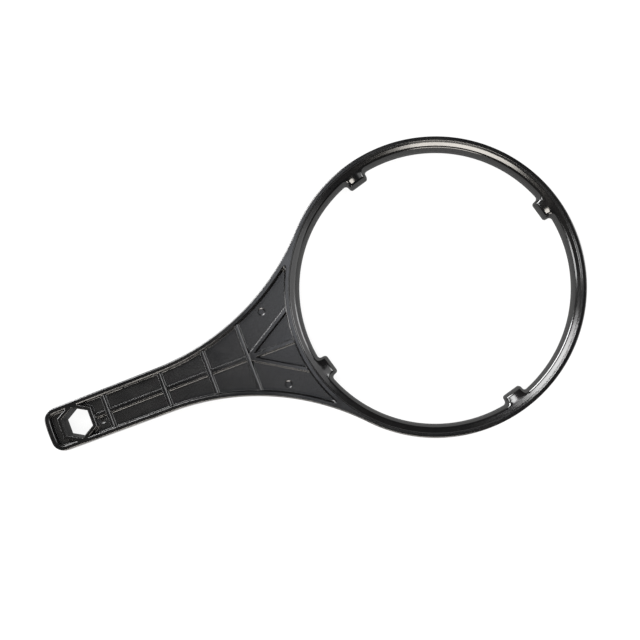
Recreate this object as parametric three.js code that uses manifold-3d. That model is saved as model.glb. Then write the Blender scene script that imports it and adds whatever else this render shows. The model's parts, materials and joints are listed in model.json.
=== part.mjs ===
// Spanner for the screw-on bowl of a water filter: a ring with four inner lugs on a ribbed handle,
// with a hexagonal socket near the handle's end.
// The tool is one injection moulding. Each mesh below is one feature of that moulding, and
// neighbours meet face to face, so that together they are the whole body.
// Millimetres, +Z up. The tool lies on its back face: x runs from the handle's end to the ring.

import * as THREE from "three";
import { ConvexGeometry } from "three/addons/geometries/ConvexGeometry.js";
import { mergeVertices } from "three/addons/utils/BufferGeometryUtils.js";
import Module from "manifold-3d";

const wasm = await Module();
wasm.setup();

// Overall
const LENGTH = 261.5; // handle's end to the ring's far side
const THICKNESS = 11; // back face to front face, on the ring's rim and the handle's rails

// Ring
const RING_OUTER_R = 69.85;
const RIM_WIDTH = 2.5; // raised rim round the outside
const RIM_CHAMFER = 0.4;
const FLANGE_OUTER_Z = 9.9; // flange height where it meets the rim, sloping down inwards
const FLANGE_INNER_Z = 9.2;
const FLANGE_INNER_R = 65.1;
const BORE_CHAMFER_Z = 7.7; // where the lead-in chamfer ends and the wall begins
const BORE_FRONT_R = 63.6;
const BORE_BACK_R = 63.5;
const RING_SEGMENTS = 180;

// Lugs
const LUG_COUNT = 4;
const FIRST_LUG_ANGLE = THREE.MathUtils.degToRad(15.4); // from the handle's axis, beyond the ring
const LUG_TIP_R = 59.6; // at the back face
const LUG_HALF_WIDTH = 4.7; // at the tip, at the back face
const LUG_ROOT_FLARE = 0.9; // extra half width at the root
const LUG_ROOT_R = 66.5; // inside the flange, which trims it
const LUG_DRAFT = 0.4; // drawn in over the wall's height
const LUG_CHAMFER = 1.2; // on the front edges

// Handle outline
const HANDLE_HALF_WIDTH = 10.5; // at the hexagonal socket
const SIDE_SPLAY = THREE.MathUtils.degToRad(0.52); // each side opens towards the ring
const FLARE_R = 114.5; // arc that joins each side to the ring, tangent to both
const END_BOW_R = 60;
const END_CORNER_R = 5.2;

// Handle section
const RAIL_WIDTH = 2.6;
const RAIL_TIP_X = -55; // where a rail ends as it merges into the ring
const WEB_THICKNESS = 3;
const CROSS_RIB_WIDTH = 2.2;
const CROSS_RIB_DROP = 0.6; // below the rails' faces
const SPINE_WIDTH = 2;
const SPINE_DROP = 1.3;
const CROSS_RIB_FROM_RING = [162.3, 134.2, 112, 92.7]; // from the ring's centre
const BRACE_WIDTH = 2;
const BRACE_END_Y = 15; // where a brace meets the ring

// Hexagonal socket
const HEX_FROM_RING = 177.2;
const HEX_ACROSS_FLATS = 12.9;
const HEX_WALL = 2.1;

const PAST = 1; // how far a cutter runs past what it cuts
const BRACE_OVERRUN = 4; // how far a brace's beam runs into the ring before it is trimmed

const MERGE_TOLERANCE = 1e-4;
const CURVE_SEGMENTS = 16; // along each arc of an outline

const RING_X = LENGTH / 2 - RING_OUTER_R;
const HANDLE_END = LENGTH - RING_OUTER_R; // distance from the ring's centre
const WEB_BACK = (THICKNESS - WEB_THICKNESS) / 2;
const WEB_FRONT = (THICKNESS + WEB_THICKNESS) / 2;

const plastic = (name, hex, roughness) =>
  Object.assign(new THREE.MeshStandardMaterial({ color: hex, roughness, metalness: 0 }), { name });
const glossy = () => plastic("glossy_moulding", 0x26262a, 0.3);
const satin = () => plastic("satin_moulding", 0x3c3b3d, 0.5);

// ---- Solids. The functions here work round the ring's centre; the whole group is moved at the end.

function solid(geometry) {
  const g = geometry.index ? geometry.toNonIndexed() : geometry.clone();
  const bare = new THREE.BufferGeometry().setAttribute("position", g.getAttribute("position"));
  const merged = mergeVertices(bare, MERGE_TOLERANCE);
  return new wasm.Manifold(
    new wasm.Mesh({
      numProp: 3,
      vertProperties: merged.attributes.position.array,
      triVerts: new Uint32Array(merged.index.array),
    }),
  );
}

function meshOf(name, body, material) {
  const { vertProperties, triVerts } = body.getMesh();
  const indexed = new THREE.BufferGeometry()
    .setAttribute("position", new THREE.BufferAttribute(vertProperties, 3))
    .setIndex(new THREE.BufferAttribute(triVerts, 1));
  const flat = indexed.toNonIndexed();
  flat.computeVertexNormals();
  const mesh = new THREE.Mesh(flat, material);
  mesh.name = name;
  return mesh;
}

// Turns a lathe's own axis, y, up to z without a rounding error.
const Y_TO_Z = new THREE.Matrix4().set(1, 0, 0, 0, 0, 0, -1, 0, 0, 1, 0, 0, 0, 0, 0, 1);

// A solid of revolution about z, from [radius, z] points in counterclockwise order.
function revolved(points) {
  const profile = [...points, points[0]].map(([r, z]) => new THREE.Vector2(r, z));
  return solid(new THREE.LatheGeometry(profile, RING_SEGMENTS).applyMatrix4(Y_TO_Z));
}

function extruded(shape, z0, z1) {
  const options = { depth: z1 - z0, bevelEnabled: false, curveSegments: CURVE_SEGMENTS };
  return solid(new THREE.ExtrudeGeometry(shape, options).translate(0, 0, z0));
}

function block(x0, x1, y0, y1, z0, z1) {
  const box = new THREE.BoxGeometry(x1 - x0, y1 - y0, z1 - z0);
  return solid(box.translate((x0 + x1) / 2, (y0 + y1) / 2, (z0 + z1) / 2));
}

// The z range of a rib that stands on the web's front or back and stops short of the rails' face.
function ribSpan(side, drop) {
  return side === "front" ? [WEB_FRONT, THICKNESS - drop] : [drop, WEB_BACK];
}

// ---- Ring

// Cuts the handle's features back to the ring. It runs past both faces, as every cutter here does.
const ringBlank = revolved([
  [0, -PAST],
  [RING_OUTER_R, -PAST],
  [RING_OUTER_R, THICKNESS + PAST],
  [0, THICKNESS + PAST],
]);

function outerRim() {
  const inner = RING_OUTER_R - RIM_WIDTH;
  return revolved([
    [inner, 0],
    [RING_OUTER_R, 0],
    [RING_OUTER_R, THICKNESS - RIM_CHAMFER],
    [RING_OUTER_R - RIM_CHAMFER, THICKNESS],
    [inner + RIM_CHAMFER, THICKNESS],
    [inner, THICKNESS - RIM_CHAMFER],
  ]);
}

function innerFlange() {
  const outer = RING_OUTER_R - RIM_WIDTH;
  return revolved([
    [BORE_BACK_R, 0],
    [outer, 0],
    [outer, FLANGE_OUTER_Z],
    [FLANGE_INNER_R, FLANGE_INNER_Z],
    [BORE_FRONT_R, BORE_CHAMFER_Z],
  ]);
}

// Corners of a lug's outline at one height, drawn in by `inset` from its outline at the back face.
function lugSection(inset, z) {
  const tip = LUG_TIP_R + inset;
  const half = LUG_HALF_WIDTH - inset;
  return [
    new THREE.Vector3(tip, half, z),
    new THREE.Vector3(tip, -half, z),
    new THREE.Vector3(LUG_ROOT_R, -half - LUG_ROOT_FLARE, z),
    new THREE.Vector3(LUG_ROOT_R, half + LUG_ROOT_FLARE, z),
  ];
}

function lug(index, flange) {
  const chamferFoot = FLANGE_INNER_Z - LUG_CHAMFER;
  const corners = [
    ...lugSection(0, 0),
    ...lugSection(LUG_DRAFT, chamferFoot),
    ...lugSection(LUG_DRAFT + LUG_CHAMFER, FLANGE_INNER_Z),
  ];
  const angle = FIRST_LUG_ANGLE + (index * 2 * Math.PI) / LUG_COUNT;
  const whole = solid(new ConvexGeometry(corners).rotateZ(angle));
  return whole.subtract(flange);
}

// ---- Handle

// Outline of the handle, drawn in by `inset`. Each side is a straight line at a slight splay,
// with normal n and direction d; both arcs of a side keep their centres as the outline shrinks.
function handleOutline(inset) {
  const n = new THREE.Vector2(-Math.sin(SIDE_SPLAY), Math.cos(SIDE_SPLAY));
  const d = new THREE.Vector2(Math.cos(SIDE_SPLAY), Math.sin(SIDE_SPLAY));
  const sideOffset = new THREE.Vector2(-HEX_FROM_RING, HANDLE_HALF_WIDTH).dot(n);
  const onSide = (along, out) => d.clone().multiplyScalar(along).addScaledVector(n, out);

  const flareOut = sideOffset + FLARE_R;
  const flare = onSide(-Math.sqrt((RING_OUTER_R + FLARE_R) ** 2 - flareOut ** 2), flareOut);

  const bow = new THREE.Vector2(END_BOW_R - HANDLE_END, 0);
  const cornerOut = sideOffset - END_CORNER_R;
  const reach = Math.sqrt((END_BOW_R - END_CORNER_R) ** 2 - (cornerOut - bow.dot(n)) ** 2);
  const corner = onSide(bow.dot(d) - reach, cornerOut);

  const side = n.angle(); // direction of the side's outward normal
  const toRing = flare.clone().negate().angle(); // from the flare's centre to the ring's centre
  const toCorner = corner.clone().sub(bow).angle();
  const full = 2 * Math.PI;

  const shape = new THREE.Shape();
  shape.absarc(flare.x, flare.y, FLARE_R + inset, toRing, side + Math.PI, true);
  shape.absarc(corner.x, corner.y, END_CORNER_R - inset, side, toCorner, false);
  shape.absarc(bow.x, bow.y, END_BOW_R - inset, toCorner, full - toCorner, false);
  shape.absarc(corner.x, -corner.y, END_CORNER_R - inset, full - toCorner, full - side, false);
  shape.absarc(flare.x, -flare.y, FLARE_R + inset, Math.PI - side, full - toRing, true);
  shape.closePath();
  return shape;
}

const pocket = extruded(handleOutline(RAIL_WIDTH), -PAST, THICKNESS + PAST).subtract(ringBlank);

// The band between the outline and the pocket, as two side rails and the rail round the end.
function rails() {
  const band = extruded(handleOutline(0), 0, THICKNESS).subtract(ringBlank).subtract(pocket);
  const endFace = RAIL_WIDTH + END_CORNER_R - HANDLE_END;
  const slab = (x0, x1, y0, y1) => block(x0, x1, y0, y1, -PAST, THICKNESS + PAST);
  return {
    left_rail: band.intersect(slab(endFace, RAIL_TIP_X, 0, RING_OUTER_R)),
    right_rail: band.intersect(slab(endFace, RAIL_TIP_X, -RING_OUTER_R, 0)),
    end_rail: band.intersect(slab(-HANDLE_END - PAST, endFace, -RING_OUTER_R, RING_OUTER_R)),
  };
}

// A regular hexagon with two flats square to x.
function hexagon(acrossFlats) {
  const corners = Array.from({ length: 6 }, (_, i) => {
    const angle = ((i + 0.5) * Math.PI) / 3;
    const r = acrossFlats / Math.sqrt(3);
    return new THREE.Vector2(r * Math.cos(angle) - HEX_FROM_RING, r * Math.sin(angle));
  });
  return new THREE.Shape(corners);
}

const hexOuter = extruded(hexagon(HEX_ACROSS_FLATS + 2 * HEX_WALL), 0, THICKNESS);

function hexBoss() {
  const hole = extruded(hexagon(HEX_ACROSS_FLATS), -PAST, THICKNESS + PAST);
  return hexOuter.intersect(pocket).subtract(hole);
}

// The web fills the handle between the rails. The socket's boss reaches both rails and parts it.
function webs() {
  const sheet = extruded(handleOutline(RAIL_WIDTH), WEB_BACK, WEB_FRONT);
  const whole = sheet.subtract(ringBlank).subtract(hexOuter);
  const half = HANDLE_HALF_WIDTH;
  const beyondBoss = block(-HANDLE_END, -HEX_FROM_RING, -half, half, 0, THICKNESS);
  return { handle_web: whole.subtract(beyondBoss), end_web: whole.intersect(beyondBoss) };
}

function crossRib(fromRing, side) {
  const [z0, z1] = ribSpan(side, CROSS_RIB_DROP);
  const half = CROSS_RIB_WIDTH / 2;
  return block(-fromRing - half, -fromRing + half, -RING_OUTER_R, RING_OUTER_R, z0, z1).intersect(pocket);
}

// The spine's stretches: from the socket to the first cross rib, from rib to rib, and to the ring.
function spineStretches(side) {
  const [z0, z1] = ribSpan(side, SPINE_DROP);
  const half = CROSS_RIB_WIDTH / 2;
  const boss = HEX_FROM_RING - HEX_ACROSS_FLATS / 2 - HEX_WALL;
  const starts = [boss, ...CROSS_RIB_FROM_RING.map((s) => s - half)];
  const ends = [...CROSS_RIB_FROM_RING.map((s) => s + half), 0];
  return starts.map((start, i) =>
    block(-start, -ends[i], -SPINE_WIDTH / 2, SPINE_WIDTH / 2, z0, z1).subtract(ringBlank),
  );
}

// A brace runs from the spine's crossing with the last cross rib out to the ring.
function brace(side, hand, spine) {
  const [z0, z1] = ribSpan(side, SPINE_DROP);
  const last = CROSS_RIB_FROM_RING.at(-1);
  const ringX = -Math.sqrt(RING_OUTER_R ** 2 - BRACE_END_Y ** 2);
  const run = ringX + last;
  const length = Math.hypot(run, BRACE_END_Y) + BRACE_OVERRUN;
  const beam = new THREE.BoxGeometry(length, BRACE_WIDTH, z1 - z0);
  beam.translate(beam.parameters.width / 2, 0, (z0 + z1) / 2);
  beam.rotateZ(hand * Math.atan2(BRACE_END_Y, run)).translate(-last, 0, 0);
  const lastRib = block(-HANDLE_END, -last + CROSS_RIB_WIDTH / 2, -BRACE_END_Y, BRACE_END_Y, 0, THICKNESS);
  return solid(beam).subtract(ringBlank).subtract(lastRib).subtract(spine);
}

// ---- The whole tool

const tool = new THREE.Group();
tool.position.x = RING_X;
const add = (name, body, material) => tool.add(meshOf(name, body, material));

const flange = innerFlange();
add("outer_rim", outerRim(), glossy());
add("inner_flange", flange, glossy());
for (let i = 0; i < LUG_COUNT; i++) add(`lug_${i + 1}`, lug(i, flange), glossy());

for (const [name, body] of Object.entries(webs())) add(name, body, satin());
for (const [name, body] of Object.entries(rails())) add(name, body, glossy());
add("hex_boss", hexBoss(), satin());

for (const side of ["front", "back"]) {
  CROSS_RIB_FROM_RING.forEach((s, i) => add(`${side}_cross_rib_${i + 1}`, crossRib(s, side), satin()));
  const stretches = spineStretches(side);
  stretches.forEach((body, i) => add(`${side}_spine_${i + 1}`, body, satin()));
  add(`${side}_left_brace`, brace(side, 1, stretches.at(-1)), satin());
  add(`${side}_right_brace`, brace(side, -1, stretches.at(-1)), satin());
}

export default tool;
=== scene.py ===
# Filter housing wrench: one injection moulding of black plastic, a lugged ring on a ribbed handle.
# Its shape is a distance field, which gives rounded edges and filleted corners. The field is turned into
# one closed mesh, which stands for all the CAD nodes, because the real tool has no seams.
# Shape sizes are in millimetres, measured from the ring's centre. Blender objects are in metres.

import json
import math

import bpy
import numpy as np
import openvdb
from mathutils import Matrix, Vector


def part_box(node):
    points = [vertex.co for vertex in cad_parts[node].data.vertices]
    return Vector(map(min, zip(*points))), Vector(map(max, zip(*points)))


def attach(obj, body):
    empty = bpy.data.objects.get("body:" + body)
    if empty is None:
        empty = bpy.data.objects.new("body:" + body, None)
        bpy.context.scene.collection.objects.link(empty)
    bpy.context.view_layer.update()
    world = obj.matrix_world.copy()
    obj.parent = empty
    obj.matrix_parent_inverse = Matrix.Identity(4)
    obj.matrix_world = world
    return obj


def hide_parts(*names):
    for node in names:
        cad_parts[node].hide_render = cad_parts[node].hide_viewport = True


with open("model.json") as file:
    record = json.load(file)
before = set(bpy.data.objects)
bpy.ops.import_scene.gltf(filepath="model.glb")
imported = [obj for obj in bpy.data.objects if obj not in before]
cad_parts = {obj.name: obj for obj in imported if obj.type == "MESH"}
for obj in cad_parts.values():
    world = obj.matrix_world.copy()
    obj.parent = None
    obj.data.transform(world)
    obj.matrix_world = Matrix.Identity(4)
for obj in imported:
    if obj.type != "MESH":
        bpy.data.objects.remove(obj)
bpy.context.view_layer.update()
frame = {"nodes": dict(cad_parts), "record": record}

MM = 0.001

# ---- Sizes from the frame

RING_CENTRE = np.array([sum(c[0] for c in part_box("outer_rim")) / 2 / MM, 0, 0])


def corners(node):
    """Lowest and highest corner of a CAD node, in millimetres from the ring's centre."""
    return [np.array(c) / MM - RING_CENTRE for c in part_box(node)]


def mount_point(name):
    mount = next(m for m in frame["record"]["mounts"] if m["name"] == name)
    return np.array(mount["pos_m"]) / MM - RING_CENTRE


RING_R = corners("outer_rim")[1][0]
THICKNESS = corners("outer_rim")[1][2]
HANDLE_END = -corners("end_rail")[0][0]
MID_Z = THICKNESS / 2
FLANGE_OUTER_R = corners("inner_flange")[1][0]
FLANGE_OUTER_Z = corners("inner_flange")[1][2]
HEX_X = (mount_point("hex_flat_near_end")[0] + mount_point("hex_flat_near_ring")[0]) / 2
HEX_HALF = (mount_point("hex_flat_near_ring")[0] - mount_point("hex_flat_near_end")[0]) / 2
HEX_WALL = corners("hex_boss")[1][0] - HEX_X - HEX_HALF
CROSS_RIBS = [corners(f"front_cross_rib_{i}") for i in (1, 2, 3, 4)]
CROSS_RIB_X = [(low[0] + high[0]) / 2 for low, high in CROSS_RIBS]
CROSS_RIB_HALF = (CROSS_RIBS[0][1][0] - CROSS_RIBS[0][0][0]) / 2
CROSS_RIB_TOP = CROSS_RIBS[0][1][2] - MID_Z
SPINE_HALF = corners("front_spine_2")[1][1]
SPINE_TOP = corners("front_spine_2")[1][2] - MID_Z
WEB_HALF = corners("end_web")[1][2] - MID_Z
RIM_MID_R = (RING_R + FLANGE_OUTER_R) / 2

# ---- Sizes of the moulding's finer shape

FLANGE_SLOPE = 0.31  # fall of the flange per millimetre inwards
FLANGE_INNER_R = 65.1
BORE_BACK_R = 63.5
BORE_DRAFT = 0.01
BORE_CHAMFER = 1.5  # leg of the chamfer round the bore and the lugs
STEP_FILLET = 0.4
EDGE_R = 0.4  # on the chamfer's edges
FACE_EDGE_R = 0.5  # on the edges of the front and back faces

LUG_ANGLE = math.radians(15.4)
QUARTER_TURN = math.pi / 2  # from one lug to the next
LUG_TIP_R = 59.6
LUG_HALF_WIDTH = 4.7
LUG_ROOT_FLARE = 0.13  # extra half width per millimetre towards the root
LUG_CORNER_R = 1.1
LUG_ROOT_FILLET = 1.5
LUG_TOP_FALL = 0.27
LUG_CROWN = 0.75  # how far a lug's front face drops towards its sides
LUG_BLEND = 2.4  # width of the blend from the flange to a lug's face
LUG_BLEND_START = 0.3  # how far outside the flange's inner edge that blend begins
LUG_SIDE_BLEND = 0.45  # width of the blend beside a lug, as a share of its half width

HANDLE_HALF_WIDTH = 10.5
SIDE_SPLAY = math.radians(0.52)
FLARE_R = 114.5
END_BOW_R = 60
END_CORNER_R = 5.2
RAIL_WIDTH = 2.6
DRAFT = 0.03  # sides draw in by this much per millimetre away from the middle plane
POCKET_TIP_R = 2.2
CROSS_RIB_EDGE_R = 0.6
SPINE_EDGE_R = 0.15
FLOOR_FILLET = 0.3
BRACE_HALF = 1
BRACE_END_Y = 15
HEX_EDGE_R = 0.35
HEX_DRAFT = 0.06  # the socket narrows by this much per millimetre towards the back

EJECTOR_R = 1.85
EJECTOR_DEPTH = 0.12
EJECTORS = [(-79.5, 18.0), (-79.5, -18.0)]
GATE = (-166.2, -2.6)
GATE_R = 2.0
GATE_NUB_R = 0.8
GATE_NUB_HEIGHT = 0.45
MARK_SLOPE = 0.6  # width of the slope round a mark


# ---- The distance field. Fields are negative inside the plastic.


def round_union(a, b, radius):
    """Both bodies, with a fillet in the corner between them."""
    edge = np.hypot(np.maximum(radius - a, 0), np.maximum(radius - b, 0))
    return np.maximum(radius, np.minimum(a, b)) - edge


def round_common(a, b, radius):
    """What two bodies share, with the edge between them rounded."""
    edge = np.hypot(np.maximum(radius + a, 0), np.maximum(radius + b, 0))
    return np.minimum(-radius, np.maximum(a, b)) + edge


def smooth_step(t):
    t = np.clip(t, 0, 1)
    return t * t * (3 - 2 * t)


def handle_outline(x, y):
    """Distance outside the handle's outline: straight sides that flare to the ring, and a bowed end."""
    side_out = HANDLE_HALF_WIDTH * math.cos(SIDE_SPLAY) - HEX_X * math.sin(SIDE_SPLAY)
    flare_out = side_out + FLARE_R
    flare_along = -math.sqrt((RING_R + FLARE_R) ** 2 - flare_out**2)
    y = np.abs(y)
    along = x * math.cos(SIDE_SPLAY) + y * math.sin(SIDE_SPLAY)
    out = y * math.cos(SIDE_SPLAY) - x * math.sin(SIDE_SPLAY)
    flare = FLARE_R - np.hypot(along - flare_along, out - flare_out)
    side = np.where(along < flare_along, out - side_out, flare)
    past_tangent = (along * flare_out - out * flare_along) / (RING_R + FLARE_R)
    bow_x = END_BOW_R - HANDLE_END
    bow = np.where(x < bow_x, np.hypot(x - bow_x, y), 0) - END_BOW_R
    return np.maximum(round_common(side, bow, END_CORNER_R), past_tangent)


def hexagon(x, y):
    """Distance outside the socket's hexagon, which has two flats square to x."""
    x, y = np.abs(x - HEX_X), np.abs(y)
    return np.maximum(x, x / 2 + y * math.sqrt(3) / 2) - HEX_HALF


def ribs(x, y, height):
    """The ribs on the web, by their height above the middle plane."""
    draft = DRAFT * (height - WEB_HALF)
    cross_plan = np.min([np.abs(x - rib_x) for rib_x in CROSS_RIB_X], axis=0) - CROSS_RIB_HALF
    cross = round_common(cross_plan + draft, height - CROSS_RIB_TOP, CROSS_RIB_EDGE_R)

    spine_plan = np.maximum(np.abs(y) - SPINE_HALF, HEX_X - x)
    brace_run = -math.sqrt(RING_R**2 - BRACE_END_Y**2) - CROSS_RIB_X[-1]
    brace_angle = math.atan2(BRACE_END_Y, brace_run)
    from_node = x - CROSS_RIB_X[-1]
    off_line = np.abs(np.abs(y) * math.cos(brace_angle) - from_node * math.sin(brace_angle))
    brace_plan = np.maximum(off_line - BRACE_HALF, -from_node)
    long_plan = round_union(spine_plan + draft, brace_plan + draft, FLOOR_FILLET)
    long_ribs = round_common(long_plan, height - SPINE_TOP, SPINE_EDGE_R)
    return round_union(cross, long_ribs, SPINE_EDGE_R)


def floor_marks(x, y):
    """Height that the marks of the mould's ejector pins and gate take from the web's floor."""
    taken = np.zeros_like(x)
    for pin_x, pin_y in EJECTORS:
        taken += EJECTOR_DEPTH * smooth_step((EJECTOR_R - np.hypot(x - pin_x, y - pin_y)) / MARK_SLOPE)
    from_gate = np.hypot(x - GATE[0], y - GATE[1])
    taken += EJECTOR_DEPTH * smooth_step((GATE_R - from_gate) / MARK_SLOPE)
    taken -= GATE_NUB_HEIGHT * smooth_step((GATE_NUB_R - from_gate) / MARK_SLOPE)
    return taken


def from_lug(x, y, radius):
    """Place along and across the nearest lug, which points at the ring's centre."""
    angle = np.arctan2(y, x) - LUG_ANGLE
    angle = angle - QUARTER_TURN * np.round(angle / QUARTER_TURN)
    return radius * np.cos(angle), radius * np.sin(angle)


def bore_plan(x, y, z, radius):
    """Distance inside the wall of the bore and its lugs."""
    out, across = from_lug(x, y, radius)
    draft = BORE_DRAFT * z
    flank = np.abs(across) - LUG_HALF_WIDTH - LUG_ROOT_FLARE * (out - LUG_TIP_R) + draft
    lug = round_common(flank, LUG_TIP_R + draft - out, LUG_CORNER_R)
    return round_union(BORE_BACK_R + draft - radius, lug, LUG_ROOT_FILLET)


def flange(x, y, z, radius):
    """The band inside the rim, with its four lugs. Its front falls inwards, and its bore is chamfered."""
    bore = bore_plan(x, y, z, radius)
    _, across = from_lug(x, y, radius)
    band_top = FLANGE_OUTER_Z - FLANGE_SLOPE * (FLANGE_OUTER_R - radius)
    inner_top = FLANGE_OUTER_Z - FLANGE_SLOPE * (FLANGE_OUTER_R - FLANGE_INNER_R)
    aside = np.abs(across) / LUG_HALF_WIDTH
    crown = LUG_CROWN * np.minimum(aside, 1) ** 2
    lug_top = inner_top - LUG_TOP_FALL * (FLANGE_INNER_R - radius) - crown
    on_lug = smooth_step((FLANGE_INNER_R + LUG_BLEND_START - radius) / LUG_BLEND)
    on_lug = on_lug * smooth_step((1 + LUG_SIDE_BLEND - aside) / LUG_SIDE_BLEND)
    top = z - band_top - on_lug * (lug_top - band_top)
    top = top * math.cos(math.atan(FLANGE_SLOPE))
    chamfer = (bore + top + BORE_CHAMFER) / math.sqrt(2)
    band = round_common(round_common(bore, chamfer, EDGE_R), top, EDGE_R)
    return np.maximum(band, radius - RIM_MID_R)


def pockets(outline, radius, height):
    """The space between the rails, as a plan that narrows towards the web."""
    draft = DRAFT * (MID_Z - height)
    return round_common(outline + RAIL_WIDTH + draft, RING_R - radius + draft, POCKET_TIP_R)


def moulding(x, y, z):
    """The whole moulding."""
    radius = np.hypot(x, y)
    height = np.abs(z - MID_Z)
    outline = handle_outline(x, y)
    rim = np.abs(radius - RIM_MID_R) - (RING_R - RIM_MID_R) + DRAFT * height
    pocket = pockets(outline, radius, height)
    rails = np.max([outline + DRAFT * height, -pocket, RIM_MID_R - radius], axis=0)

    inside_rails = np.maximum(outline + RAIL_WIDTH / 2, RIM_MID_R - radius)
    web = height - WEB_HALF + np.where(z > MID_Z, floor_marks(x, y), 0)
    web = np.maximum(round_union(web, ribs(x, y, height), FLOOR_FILLET), inside_rails)
    boss = np.maximum(hexagon(x, y) - HEX_WALL + DRAFT * height, inside_rails)

    body = round_union(np.minimum(rim, rails), web, FLOOR_FILLET)
    body = round_union(body, boss, FLOOR_FILLET)
    body = round_union(body, flange(x, y, z, radius), STEP_FILLET)
    body = round_common(body, height - MID_Z, FACE_EDGE_R)
    return round_common(body, -hexagon(x, y) - HEX_DRAFT * (THICKNESS - z), HEX_EDGE_R)


# ---- Where each finish is

SATIN_RISE = 1.2  # how far above a pocket's floor its satin finish ends
SATIN_RISE_FADE = 0.6
SATIN_SIDE_FADE = 0.5
MATTE_MARGIN = 0.25
MATTE_FADE = 0.2


def satin_amount(x, y, z):
    """1 on the pockets' floors, which are satin, and 0 on the polished faces and ribs."""
    radius = np.hypot(x, y)
    height = np.abs(z - MID_Z)
    pocket = pockets(handle_outline(x, y), radius, height)
    floors = smooth_step((WEB_HALF + SATIN_RISE - height) / SATIN_RISE_FADE)
    from_pin = np.min([np.hypot(x - pin_x, y - pin_y) for pin_x, pin_y in EJECTORS], axis=0)
    floors = floors * smooth_step(-pocket / SATIN_SIDE_FADE)
    return floors * smooth_step((from_pin - EJECTOR_R) / MARK_SLOPE + 1)


def matte_amount(x, y, z):
    """1 on the walls of the socket and the bore, which are duller than the faces, and 0 elsewhere."""
    bore = bore_plan(x, y, z, np.hypot(x, y))
    return smooth_step((MATTE_MARGIN + np.maximum(-hexagon(x, y), bore)) / MATTE_FADE)


# ---- From the field to a mesh

CELL = 0.25  # of the sampling grid
FIELD_LIMIT = 1.0  # the grid holds no distance beyond this
GRADIENT_STEP = 0.02
LEAST_STEEPNESS = 0.1
SURFACE_ROUNDS = 2
FACES_KEPT = 190_000
NORMAL_SHIFT = 0.2  # how far into a large face its corner normals are read
TINY = 1e-9


def gradient(points):
    """The field's slope at each point. On the surface it points straight out of the plastic."""
    axes = np.eye(3) * GRADIENT_STEP
    slopes = [moulding(*(points + a).T) - moulding(*(points - a).T) for a in axes]
    return np.stack(slopes, axis=1) / (2 * GRADIENT_STEP)


def onto_surface(points):
    """The points, moved along the field's slope until they lie on its surface."""
    for _ in range(SURFACE_ROUNDS):
        slope = gradient(points)
        steepness = np.maximum((slope**2).sum(axis=1), LEAST_STEEPNESS)
        points = points - slope * (moulding(*points.T) / steepness)[:, None]
    return points


def sampled_polygons():
    """Points and faces of the field's surface, by dual contouring on a regular grid."""
    margin = 2 * CELL
    low = np.array([-HANDLE_END, -RING_R, 0]) - margin
    high = np.array([RING_R, RING_R, THICKNESS]) + margin
    axes = [np.arange(a, b, CELL) for a, b in zip(low, high)]
    x, y = np.meshgrid(axes[0], axes[1], indexing="ij")
    from_ring = np.abs(np.hypot(x, y) - (RING_R + LUG_TIP_R) / 2) - (RING_R - LUG_TIP_R) / 2
    near = np.minimum(handle_outline(x, y), from_ring) < margin
    samples = np.full((*x.shape, len(axes[2])), FIELD_LIMIT, dtype=np.float32)
    for layer, z in enumerate(axes[2]):
        samples[near, layer] = np.clip(moulding(x[near], y[near], z), -FIELD_LIMIT, FIELD_LIMIT)
    grid = openvdb.FloatGrid(FIELD_LIMIT)
    grid.copyFromArray(samples)
    points, _, quads = grid.convertToPolygons(0.0, 0.0)
    return points.astype(float) * CELL + low, quads


def mesh_from(name, points, faces):
    mesh = bpy.data.meshes.new(name)
    mesh.from_pydata(points, [], faces)
    return mesh


def simplified(obj, faces_kept):
    """The object's mesh with fewer triangles, which stay small only where the surface bends."""
    decimate = obj.modifiers.new("decimate", "DECIMATE")
    decimate.use_collapse_triangulate = True
    decimate.ratio = faces_kept / (2 * len(obj.data.polygons))
    evaluated = obj.evaluated_get(bpy.context.evaluated_depsgraph_get())
    mesh = bpy.data.meshes.new_from_object(evaluated)
    obj.modifiers.clear()
    return mesh


def vertex_array(mesh):
    flat = np.empty(len(mesh.vertices) * 3)
    mesh.vertices.foreach_get("co", flat)
    return flat.reshape(-1, 3)


def corner_normals(mesh, points):
    """The field's own normals at each face's corners, taken a little way into each large face."""
    corner_vertices = np.empty(len(mesh.loops), dtype=np.int64)
    mesh.loops.foreach_get("vertex_index", corner_vertices)
    triangles = corner_vertices.reshape(-1, 3)
    centres = points[triangles].mean(axis=1)
    at_corners = points[corner_vertices]
    inwards = np.repeat(centres, 3, axis=0) - at_corners
    distance = np.linalg.norm(inwards, axis=1)
    shift = np.clip(distance - CELL, 0, NORMAL_SHIFT) / np.maximum(distance, TINY)
    slopes = gradient(at_corners + inwards * shift[:, None])
    return slopes / np.linalg.norm(slopes, axis=1)[:, None]


def wrench_moulding():
    """The moulding as an object, with the field's normals and an attribute for each finish."""
    points, quads = sampled_polygons()
    obj = bpy.data.objects.new("wrench_moulding", mesh_from("dense", onto_surface(points), quads))
    bpy.context.scene.collection.objects.link(obj)
    dense = obj.data
    obj.data = simplified(obj, FACES_KEPT)
    obj.data.name = "wrench_moulding"
    bpy.data.meshes.remove(dense)

    points = onto_surface(vertex_array(obj.data))
    normals = corner_normals(obj.data, points)
    obj.data.vertices.foreach_set("co", ((points + RING_CENTRE) * MM).ravel())
    obj.data.shade_smooth()
    obj.data.normals_split_custom_set(normals)
    finishes = {"satin": satin_amount(*points.T), "matte": matte_amount(*points.T)}
    for name, amount in finishes.items():
        obj.data.attributes.new(name, "FLOAT", "POINT").data.foreach_set("value", amount)
    return obj


# ---- Materials


def new_material(name):
    material = bpy.data.materials.new(name)
    material.use_nodes = True
    tree = material.node_tree
    return material, tree, tree.nodes["Principled BSDF"]


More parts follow.
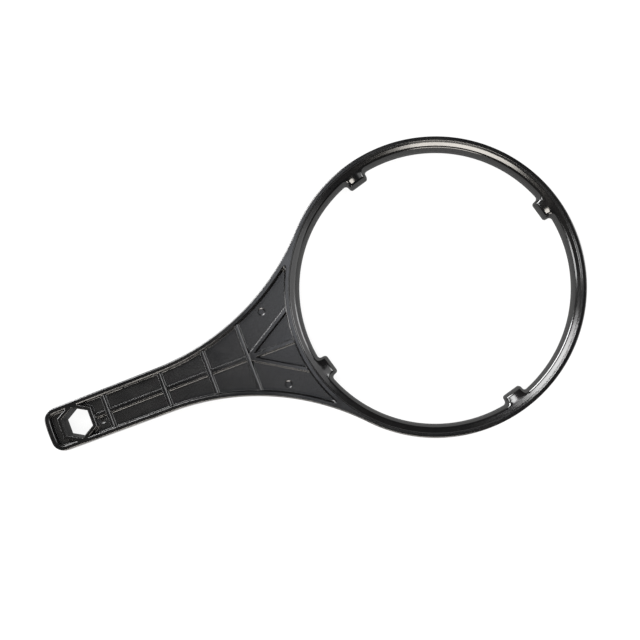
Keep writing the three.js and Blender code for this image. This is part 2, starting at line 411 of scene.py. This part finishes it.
def noise(tree, place, scale, detail=2.0, roughness=0.5):
    node = tree.nodes.new("ShaderNodeTexNoise")
    node.inputs["Scale"].default_value = scale
    node.inputs["Detail"].default_value = detail
    node.inputs["Roughness"].default_value = roughness
    tree.links.new(place, node.inputs["Vector"])
    return node.outputs["Fac"]


def finish(tree, name):
    node = tree.nodes.new("ShaderNodeAttribute")
    node.attribute_name = name
    return node.outputs["Fac"]


def stretched(tree, place, scale):
    node = tree.nodes.new("ShaderNodeMapping")
    node.inputs["Scale"].default_value = scale
    tree.links.new(place, node.inputs["Vector"])
    return node.outputs["Vector"]


def mapped(tree, value, low, high, new_low, new_high):
    node = tree.nodes.new("ShaderNodeMapRange")
    for socket, number in zip(node.inputs[1:5], (low, high, new_low, new_high)):
        socket.default_value = number
    tree.links.new(value, node.inputs["Value"])
    return node.outputs["Result"]


def combined(tree, operation, a, b):
    node = tree.nodes.new("ShaderNodeMath")
    node.operation = operation
    for socket, value in zip(node.inputs, (a, b)):
        if isinstance(value, (int, float)):
            socket.default_value = value
        else:
            tree.links.new(value, socket)
    return node.outputs[0]


def bumped(tree, height, strength, distance, under=None):
    node = tree.nodes.new("ShaderNodeBump")
    node.inputs["Distance"].default_value = distance
    tree.links.new(height, node.inputs["Height"])
    tree.links.new(strength, node.inputs["Strength"])
    if under:
        tree.links.new(under, node.inputs["Normal"])
    return node.outputs["Normal"]


POLISHED_ROUGHNESS = 0.15
SATIN_ROUGHNESS = 0.22
DARK_TINT = (0.0022, 0.0022, 0.0024, 1)
WORN_TINT = (0.006, 0.0057, 0.0054, 1)
GRAIN_DEPTH = 0.005 * MM  # of the spark-eroded texture on the pockets' floors
RIPPLE_DEPTH = 0.05 * MM  # of the polished faces' unevenness
PARTING_HALF = 0.12 * MM  # of the parting line round the middle of the outside
PARTING_HEIGHT = 0.03 * MM
CLOUD_SCALE = 70  # of the soft patches in the tint and the gloss. Scales are per metre
STREAK_SCALES = (70, 900, 900)  # long along the handle, fine across it
SPECK_SCALE = 800
RIPPLE_SCALE = 120
GRAIN_SCALE = 2400
CLOUD_WEAR = 0.6
SPECK_WEAR = 0.5
CLOUD_ROUGHNESS = 0.02
STREAK_ROUGHNESS = 0.025
MATTE_ROUGHNESS = 0.4
POLISHED_SPECULAR = 0.5
MATTE_SPECULAR = 0.1


def black_moulding():
    """Black plastic: polished faces with faint ripples and rubbed streaks, and fine-grained pocket floors."""
    material, tree, shader = new_material("black_moulding")
    place = tree.nodes.new("ShaderNodeTexCoord").outputs["Object"]
    satin = finish(tree, "satin")
    matte = finish(tree, "matte")
    polished = combined(tree, "SUBTRACT", 1, satin)

    clouds = noise(tree, place, CLOUD_SCALE, 4, 0.6)
    streaks = noise(tree, stretched(tree, place, STREAK_SCALES), 1, 3, 0.6)
    streaks = combined(tree, "MULTIPLY", mapped(tree, streaks, 0.56, 0.72, 0, 1), polished)
    specks = mapped(tree, noise(tree, place, SPECK_SCALE), 0.66, 0.74, 0, SPECK_WEAR)

    tint = tree.nodes.new("ShaderNodeValToRGB")
    tint.color_ramp.elements[0].color = DARK_TINT
    tint.color_ramp.elements[1].color = WORN_TINT
    wear = combined(tree, "ADD", mapped(tree, clouds, 0.35, 0.7, 0, CLOUD_WEAR), specks)
    tree.links.new(wear, tint.inputs["Fac"])
    tree.links.new(tint.outputs["Color"], shader.inputs["Base Color"])

    roughness = mapped(tree, satin, 0, 1, POLISHED_ROUGHNESS, SATIN_ROUGHNESS)
    for extra in (
        mapped(tree, clouds, 0.3, 0.7, -CLOUD_ROUGHNESS, CLOUD_ROUGHNESS),
        combined(tree, "MULTIPLY", streaks, STREAK_ROUGHNESS),
        combined(tree, "MULTIPLY", matte, MATTE_ROUGHNESS),
    ):
        roughness = combined(tree, "ADD", roughness, extra)
    tree.links.new(roughness, shader.inputs["Roughness"])
    specular = mapped(tree, matte, 0, 1, POLISHED_SPECULAR, MATTE_SPECULAR)
    tree.links.new(specular, shader.inputs["Specular IOR Level"])

    axes = tree.nodes.new("ShaderNodeSeparateXYZ")
    tree.links.new(place, axes.inputs["Vector"])
    off_middle = combined(tree, "ABSOLUTE", combined(tree, "SUBTRACT", axes.outputs["Z"], MID_Z * MM), 0)
    parting = mapped(tree, off_middle, 0, PARTING_HALF, 1, 0)
    normal = bumped(tree, parting, polished, PARTING_HEIGHT)
    normal = bumped(tree, noise(tree, place, RIPPLE_SCALE, 1), polished, RIPPLE_DEPTH, normal)
    normal = bumped(tree, noise(tree, place, GRAIN_SCALE, 3, 0.6), satin, GRAIN_DEPTH, normal)
    tree.links.new(normal, shader.inputs["Normal"])
    return material


FLOOR_GLOW = 0.9
FLOOR_GREY = (0.1, 0.1, 0.1, 1)
WHITE = (1, 1, 1, 1)


def floor_material():
    """A pale floor that gives off most of its own light, so that the tool's shadow stays faint."""
    material, tree, shader = new_material("pale_floor")
    shader.inputs["Base Color"].default_value = FLOOR_GREY
    shader.inputs["Roughness"].default_value = 0.9
    shader.inputs["Specular IOR Level"].default_value = 0
    shader.inputs["Emission Color"].default_value = WHITE
    shader.inputs["Emission Strength"].default_value = FLOOR_GLOW
    return material


# ---- Stage

FLOOR_SIZE = 6
CAMERA_PLACE = Vector((29.2, -30.9, 631)) * MM
CAMERA_TARGET = Vector((22.6, -9.2, 11)) * MM
CAMERA_ROLL = math.radians(20.8)  # the handle's axis, up from the picture's horizontal
CAMERA_LENS = 75.7
CAMERA_SHIFT = (-0.07, 0.023)
LIGHT_DISTANCE = 3
WARM = (1, 0.95, 0.88)
COOL = (0.9, 0.93, 1)
ROOM = (0.05, 0.05, 0.053, 1)


def make_floor():
    bpy.ops.mesh.primitive_plane_add(size=FLOOR_SIZE)
    floor = bpy.context.object
    floor.name = "floor"
    floor.data.materials.append(floor_material())


def camera_axes():
    """The picture's right and up directions, and the direction back towards the camera."""
    back = (CAMERA_PLACE - CAMERA_TARGET).normalized()
    along = Vector((1, 0, 0))
    along = (along - along.dot(back) * back).normalized()
    over = back.cross(along)
    right = along * math.cos(CAMERA_ROLL) - over * math.sin(CAMERA_ROLL)
    return right, back.cross(right), back


def make_camera():
    data = bpy.data.cameras.new("camera")
    data.lens = CAMERA_LENS
    data.shift_x, data.shift_y = CAMERA_SHIFT
    camera = bpy.data.objects.new("camera", data)
    bpy.context.scene.collection.objects.link(camera)
    right, up, back = camera_axes()
    turn = Matrix((right, up, back)).transposed().to_4x4()
    camera.matrix_world = Matrix.Translation(CAMERA_PLACE) @ turn
    bpy.context.scene.camera = camera


def soft_light(name, azimuth, off_zenith, size, power, colour=(1, 1, 1)):
    """An area light aimed at the object. Both angles are in degrees, the size in metres, the power in watts.

    The azimuth runs anticlockwise in the picture from its right side.
    """
    right, up, _ = camera_axes()
    a, t = math.radians(azimuth), math.radians(off_zenith)
    flat = right * math.cos(a) + up * math.sin(a)
    flat = Vector((flat.x, flat.y, 0)).normalized()
    direction = flat * math.sin(t) + Vector((0, 0, 1)) * math.cos(t)
    data = bpy.data.lights.new(name, "AREA")
    data.shape = "RECTANGLE"
    data.size, data.size_y = size
    data.energy = power
    data.color = colour
    light = bpy.data.objects.new(name, data)
    turn = direction.to_track_quat("Z", "Y").to_matrix().to_4x4()
    light.matrix_world = Matrix.Translation(direction * LIGHT_DISTANCE) @ turn
    light.visible_camera = False
    bpy.context.scene.collection.objects.link(light)


def make_lights():
    soft_light("key", 136, 30, (0.8, 1.05), 50)
    soft_light("fill", 265, 25, (1.15, 0.8), 58, WARM)
    soft_light("low_key", 143, 80, (1.85, 1.05), 224)
    soft_light("low_fill", 268, 80, (1.6, 1.05), 60, WARM)
    soft_light("side", 187, 62, (0.8, 2), 65)
    soft_light("low_far_side", 20, 62, (0.8, 1.6), 32)
    soft_light("far_side", 8, 55, (2.4, 3.4), 60)
    soft_light("overhead", 117, 4.5, (0.42, 0.42), 2.2, COOL)
    world = bpy.data.worlds.new("studio")
    world.use_nodes = True
    world.node_tree.nodes["Background"].inputs["Color"].default_value = ROOM
    bpy.context.scene.world = world


make_floor()
make_camera()
make_lights()
bpy.context.scene.view_settings.view_transform = "Standard"

wrench = wrench_moulding()
wrench.data.materials.append(black_moulding())
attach(wrench, "root")
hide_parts(*frame["nodes"])
